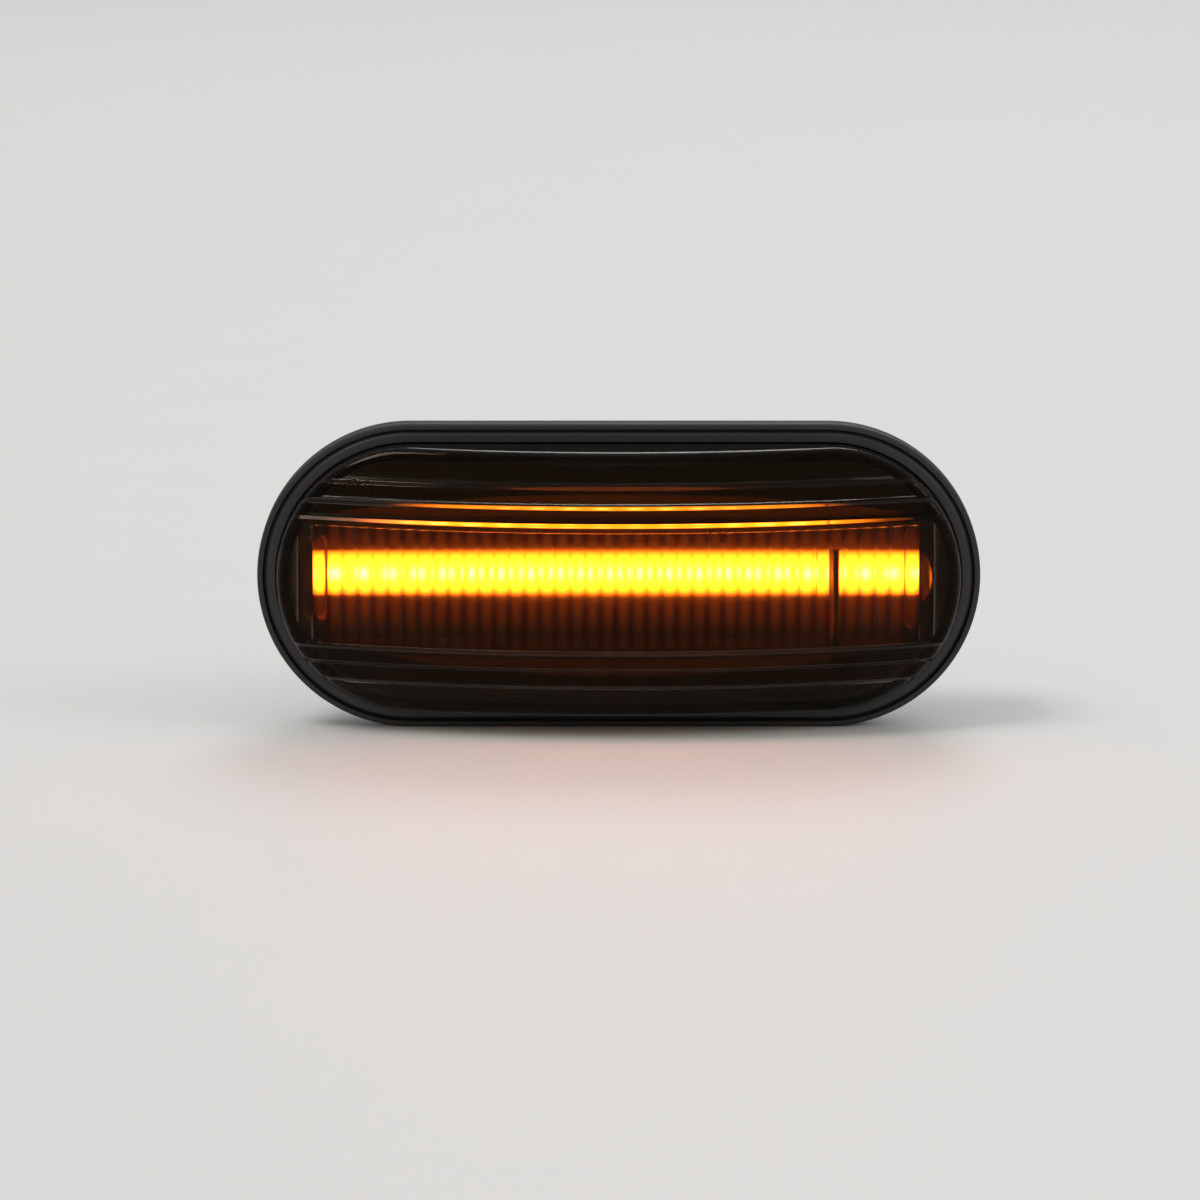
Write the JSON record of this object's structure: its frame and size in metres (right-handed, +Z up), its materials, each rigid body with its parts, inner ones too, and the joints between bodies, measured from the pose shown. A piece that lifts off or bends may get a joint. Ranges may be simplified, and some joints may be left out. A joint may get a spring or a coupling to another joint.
{
  "type": "side repeater lamp",
  "caption": "Oblong side repeater lamp with a smoked fluted lens, a running amber light bar, a rubber gasket, a fixed hook, a spring clip and a neck for a wedge bulb holder.",
  "frame": {"origin": "middle of the gasket's seat on the body panel", "axes": "+X along the lamp from the hook to the spring clip, +Y into the panel, +Z up; the lens faces -Y"},
  "size_m": [0.0966, 0.0405, 0.041],
  "materials": {
    "smoked_lens": "polished smoked polycarbonate",
    "sealant": "dark sealant",
    "black_bezel": "moulded black",
    "light_bar": "milky, lit amber",
    "white_plastic": "matte white",
    "board": "solder resist on glass fibre",
    "led": "LED body with yellow dish",
    "chip_black": "moulded epoxy",
    "capacitor": "moulded",
    "plated_steel": "zinc plated",
    "solder": "bright solder",
    "contact_brass": "plain",
    "nylon": "moulded nylon",
    "black_housing": "fine moulded grain",
    "gasket_rubber": "matte moulded rubber",
    "spring_steel": "rolled stainless strip",
    "membrane": "fine breather film"
  },
  "bodies": {
    "root": {"lens": "smoked_lens", "lens_seal": "sealant", "bezel": "black_bezel", "diffuser_long": "light_bar", "diffuser_short": "light_bar", "light_chamber": "white_plastic", "led_board": "board", "led_chips": "led", "resistors": "chip_black", "driver_chip": "chip_black", "transistors": "chip_black", "polarity_diode": "chip_black", "capacitor": "capacitor", "board_screws": "plated_steel", "solder_joints": "solder", "contact_strips": "contact_brass", "wedge_base": "nylon", "housing": "black_housing", "gasket": "gasket_rubber", "spring_clip": "spring_steel", "vent_membrane": "membrane"}
  },
  "joints": []
}
